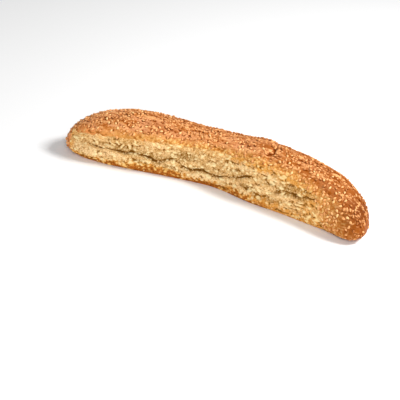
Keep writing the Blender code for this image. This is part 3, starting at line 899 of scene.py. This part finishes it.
fields = {
    "bake": bake,
    "torn": torn,
    "cavity": cavity,
    "crack_shade": line * torn,
    "ring": ring * (1 - torn),
    # Where flecks and fibres stand up, for their painted highlight
    "fleck_highlight": np.maximum(np.maximum(flecks * calm, 0.55 * fibres) * torn, band_flecks * (1 - torn)),
    "shade": shade,
    "darker_crust": darker_crust,
}
stick = closed_mesh("stick_skin", skin, fields)
stick.data.materials.append(bread_finish())
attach(stick, "root")
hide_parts("sesame_stick")


# The sesame seeds
# Hulled seeds, flat teardrops about 3 mm long, scattered on the wet dough and baked on with it.
# They lie flat in the crust, sunk by about a quarter, each turned its own way.
SEED_LENGTH = 0.0032
SEED_WIDTH = 0.0019
SEED_THICKNESS = 0.0015
SEED_RINGS = 5
SEED_SIDES = 8
SEED_SIZES = (0.84, 1.14)
SEED_LIFTS = (-0.0002, 0.0003)
SEED_TILT = 0.16
SEED_CREAM = screen(254, 210, 143)
SEED_GOLD = screen(240, 171, 106)
SEED_BROWN = screen(172, 98, 36)
SEED_MOTTLE = screen(200, 128, 58)
SEED_MOTTLE_SCALE = 1500.0
SEED_ROUGHNESS = 0.48
SEED_GLOSS = 0.32


def seed_form():
    """One seed along X, as rings between two tips: its width at t from the blunt tip is
    sin(pi t^0.75) to the power 0.8, which puts the widest ring before the middle."""
    t = np.linspace(0, 1, SEED_RINGS + 2)[1:-1, None]
    turn = np.linspace(0, 2 * np.pi, SEED_SIDES, endpoint=False)[None]
    size = np.sin(np.pi * t**0.75) ** 0.8
    length = (t - 0.5) * SEED_LENGTH + 0 * turn
    width = size * np.cos(turn) * SEED_WIDTH / 2
    thickness = size * np.sin(turn) * SEED_THICKNESS / 2
    rings = np.stack([length, width, thickness], axis=-1)
    tips = np.array([[-SEED_LENGTH / 2, 0, 0], [SEED_LENGTH / 2, 0, 0]])
    return np.concatenate([rings.reshape(-1, 3), tips]), *ring_faces(SEED_RINGS, SEED_SIDES)


def ring_faces(rings, sides):
    """Faces of rings between two tips, which come last: quads, and the triangles of both fans."""
    here = np.arange(rings * sides).reshape(rings, sides)
    beside = np.roll(here, -1, axis=1)
    quads = np.stack([here[:-1], here[1:], beside[1:], beside[:-1]], axis=-1).reshape(-1, 4)
    first = np.full(sides, here.size)
    first_fan = np.stack([first, here[0], beside[0]], axis=-1)
    last_fan = np.stack([first + 1, beside[-1], here[-1]], axis=-1)
    return quads, np.concatenate([first_fan, last_fan])


def strewn(name, points, quads, fans, attribute, numbers):
    """Many small forms as one mesh: points are (form, point, xyz), the faces those of one form
    repeated, and the attribute has one number for each point."""
    count, size = points.shape[:2]
    shift = (np.arange(count) * size)[:, None, None]
    faces = (quads + shift).reshape(-1, 4).tolist() + (fans + shift).reshape(-1, 3).tolist()
    mesh = bpy.data.meshes.new(name)
    mesh.from_pydata(points.reshape(-1, 3).tolist(), [], faces)
    mesh.attributes.new(attribute, "FLOAT", "POINT").data.foreach_set("value", numbers.ravel())
    mesh.shade_smooth()
    piece = bpy.data.objects.new(name, mesh)
    bpy.context.scene.collection.objects.link(piece)
    return piece


def laid(points, places, normals, drawn, tilt):
    """Small forms laid on the skin: each form's X, Y and Z follow a random direction in the
    surface, the direction beside it, and the surface's normal, tilted a little."""
    top = normals + drawn.normal(0, tilt, normals.shape)
    top /= np.linalg.norm(top, axis=-1, keepdims=True)
    side = np.cross(top, drawn.normal(size=top.shape))
    side /= np.linalg.norm(side, axis=-1, keepdims=True)
    axes = np.stack([np.cross(side, top), side, top], axis=1)
    return places[:, None] + np.einsum("fpa,fax->fpx", points, axes)


def seed_finish():
    """Toasted seed: cream to golden to brown by each seed's toast, with the painted shade added to it.
    """
    material, wire, shader = new_finish("toasted_sesame")
    place = wire.node("TexCoord", {}, {}, "Object")
    toast_and_shade = wire.read("toast_and_shade")
    colour = toast_and_shade.above(0.0, 0.5).mix(SEED_CREAM, SEED_GOLD)
    colour = toast_and_shade.above(0.5, 1.2).mix(colour, SEED_BROWN)
    mottle = wire.noise(place, SEED_MOTTLE_SCALE, 2.0)
    (mottle.above(0.4, 0.8) * 0.5).mix(colour, SEED_MOTTLE).drive(shader, "Base Color")
    shader.inputs["Roughness"].default_value = SEED_ROUGHNESS
    shader.inputs["Specular IOR Level"].default_value = SEED_GLOSS
    return material


# Each seed is toasted by its own number, and browner on the darker crest; painted shade darkens
# it towards its rim and underside, and at the stick's right tip
TOAST = 0.46
TOAST_SPREAD = 0.3
SEED_UNDERSIDE_SHADE = 0.2
TIP_SEED_SHADE = 0.5
TIP_SEED_SHADED = (0.110, 0.128)
CREST_TOAST = 0.3
seed_draw = np.random.default_rng(61)
count = len(seed_places)
seed_points, seed_quads, seed_fans = seed_form()
seed_sizes = seed_draw.uniform(*SEED_SIZES, (count, 1, 1))
seed_centres = seed_places + seed_out * seed_draw.uniform(*SEED_LIFTS, (count, 1))
towards_rim = 1 - np.clip(seed_points[:, 2] * 2 / SEED_THICKNESS, 0.0, 1.0)
# Painted shade towards each seed's rim and underside
toast_and_shade = np.clip(seed_draw.normal(TOAST, TOAST_SPREAD, (count, 1)), 0, 1) + SEED_UNDERSIDE_SHADE * towards_rim**2
# Painted shade on the seeds at the right tip
toast_and_shade = toast_and_shade + TIP_SEED_SHADE * ease(*TIP_SEED_SHADED, seed_places[:, :1])
toast_and_shade = toast_and_shade + CREST_TOAST * crest[:-1, :-1].reshape(-1, 1)[seed_cells]
seeds = strewn(
    "sesame_seeds",
    laid(seed_points * seed_sizes, seed_centres, seed_out, seed_draw, SEED_TILT),
    seed_quads,
    seed_fans,
    "toast_and_shade",
    toast_and_shade,
)
seeds.data.materials.append(seed_finish())
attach(seeds, "root")


# The loose crumbs
# Grains and flakes of crumb that came loose when the side was torn open, and still stick to
# it. They are dry and matt, a little paler than what they lie on.
CRUMB_TRIES = 800
CRUMB_SPACING = 0.0022
LOWEST_CRUMB = 0.002
CRUMB_CLUMP_SIZE = 6.0
CRUMB_SIZES = (0.0005, 0.0011)
CRUMB_ROUGHNESSES = (0.85, 1.15)  # by how much each point moves in or out
CRUMB_STRETCHES = (0.7, 1.3)
CRUMB_SINK = 0.0004
CRUMB_TILT = 0.3
CRUMB_SIDES = 7
CRUMB_RINGS = 4
LOOSE_CRUMB_BEIGE = screen(208, 156, 92)
LOOSE_CRUMB_PALE = screen(244, 210, 152)
LOOSE_CRUMB_ROUGHNESS = 0.9
LOOSE_CRUMB_GLOSS = 0.25


def crumb_form():
    """A plain ball, as rings between two poles: cosine and sine of the turn from pole to pole."""
    t = np.linspace(0, np.pi, CRUMB_RINGS + 2)[1:-1, None]
    turn = np.linspace(0, 2 * np.pi, CRUMB_SIDES, endpoint=False)[None] + t
    ball = np.stack([-np.cos(t) + 0 * turn, np.sin(t) * np.cos(turn), np.sin(t) * np.sin(turn)], axis=-1)
    poles = np.array([[-1.0, 0, 0], [1.0, 0, 0]])
    return np.concatenate([ball.reshape(-1, 3), poles]), *ring_faces(CRUMB_RINGS, CRUMB_SIDES)


def crumb_finish():
    """Dry crumb: beige, paler or browner by each grain's own number."""
    material, wire, shader = new_finish("dry_crumb")
    wire.read("tone").mix(LOOSE_CRUMB_BEIGE, LOOSE_CRUMB_PALE).drive(shader, "Base Color")
    shader.inputs["Roughness"].default_value = LOOSE_CRUMB_ROUGHNESS
    shader.inputs["Specular IOR Level"].default_value = LOOSE_CRUMB_GLOSS
    return material


# They lie in clumps on the torn side, few in the fissures and where it is baked
crumb_weight = torn * (skin[..., 2] > LOWEST_CRUMB) * (1 - 0.8 * line)
crumb_weight = crumb_weight * (1 - np.clip(1.5 * bake, 0.0, 0.95))
crumb_weight *= 0.3 + ease(-0.3, 0.6, grain(spots, CRUMB_CLUMP_SIZE, 71))
crumb_places, crumb_cells = scattered(skin, crumb_weight[:-1, :-1], CRUMB_TRIES, CRUMB_SPACING, 72)
crumb_out = out[:-1, :-1].reshape(-1, 3)[crumb_cells]
crumb_draw = np.random.default_rng(73)
count = len(crumb_places)
crumb_points, crumb_quads, crumb_fans = crumb_form()
rough_points = crumb_points * crumb_draw.uniform(*CRUMB_ROUGHNESSES, (count, len(crumb_points), 1))
sizes = crumb_draw.uniform(*CRUMB_SIZES, (count, 1, 1))
rough_points *= sizes * crumb_draw.uniform(*CRUMB_STRETCHES, (count, 1, 3))
crumbs = strewn(
    "loose_crumbs",
    laid(rough_points, crumb_places - crumb_out * CRUMB_SINK, crumb_out, crumb_draw, CRUMB_TILT),
    crumb_quads,
    crumb_fans,
    "tone",
    np.repeat(crumb_draw.uniform(0, 1, count), len(crumb_points)),
)
crumbs.data.materials.append(crumb_finish())
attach(crumbs, "root")


# The table
# A plain near-white surface, lit softly so that it reads almost white all over.
# It is only what the stick lies on, and no part of it.
TABLE_REACH = 3.0
TABLE_WHITE = (0.95, 0.95, 0.95, 1.0)
TABLE_ROUGHNESS = 0.9
corners = TABLE_REACH * np.array([(-1, -1, 0), (1, -1, 0), (1, 1, 0), (-1, 1, 0)])
table_mesh = bpy.data.meshes.new("table")
table_mesh.from_pydata(corners.tolist(), [], [range(4)])
table = bpy.data.objects.new("table", table_mesh)
bpy.context.scene.collection.objects.link(table)
table_finish, _, table_shader = new_finish("white_table")
table_shader.inputs["Base Color"].default_value = TABLE_WHITE
table_shader.inputs["Roughness"].default_value = TABLE_ROUGHNESS
table.data.materials.append(table_finish)


# The light
# One soft light from the upper right and a little behind, which draws the shadows under the
# seeds, a broader one from the front, and a white sky. Places and sizes are in metres, and
# powers in watts.
SKY_WHITE = (1.0, 1.0, 1.0, 1.0)
SKY_STRENGTH = 0.3


def put_at(thing, right, up, back, place):
    """Places a light or a camera by its three axes and its place, as a matrix's columns."""
    bpy.context.scene.collection.objects.link(thing)
    columns = np.eye(4)
    columns[:3] = np.stack([right, up, back, place], axis=1)
    thing.matrix_world = Matrix(columns.tolist())


def area_light(name, place, size, power):
    """A square light at a place, turned so that its -Z axis points at the origin."""
    data = bpy.data.lights.new(name, "AREA")
    data.size = size
    data.energy = power
    back = np.array(place) / np.linalg.norm(place)
    right = np.cross([0.0, 0.0, 1.0], back)
    right /= np.linalg.norm(right)
    put_at(bpy.data.objects.new(name, data), right, np.cross(back, right), back, place)


area_light("key_light", place=(0.58, 0.20, 0.76), size=0.3, power=9.7)
area_light("front_light", place=(0.30, -1.0, 0.70), size=0.5, power=7.4)
world = bpy.data.worlds.new("soft_sky")
bpy.context.scene.world = world
world.use_nodes = True
sky = world.node_tree.nodes["Background"]
sky.inputs["Color"].default_value = SKY_WHITE
sky.inputs["Strength"].default_value = SKY_STRENGTH
bpy.context.scene.view_settings.view_transform = "Standard"


# The camera
# It looks down at the torn side from the front and a little right, and is tilted sideways, so
# that the stick runs from the upper left of the frame to its lower right.
AZIMUTH = np.radians(14.24)
ELEVATION = np.radians(31.15)
ROLL = np.radians(9.47)
DISTANCE = 0.800
AIM = np.array([0.00271, -0.06095, 0.015])
LENS = 90.81  # and the sensor's width, in millimetres
SENSOR_WIDTH = 36.0
NEAREST = 0.01

camera_data = bpy.data.cameras.new("camera")
camera_data.lens = LENS
camera_data.sensor_width = SENSOR_WIDTH
camera_data.clip_start = NEAREST
camera = bpy.data.objects.new("camera", camera_data)
level = np.array([np.sin(AZIMUTH), -np.cos(AZIMUTH), 0.0]) * np.cos(ELEVATION)
back = level + np.array([0.0, 0.0, np.sin(ELEVATION)])
right = np.array([np.cos(AZIMUTH), np.sin(AZIMUTH), 0.0])
up = np.cross(back, right)
rolled_right = right * np.cos(ROLL) + up * np.sin(ROLL)
rolled_up = up * np.cos(ROLL) - right * np.sin(ROLL)
put_at(camera, rolled_right, rolled_up, back, AIM + back * DISTANCE)
bpy.context.scene.camera = camera
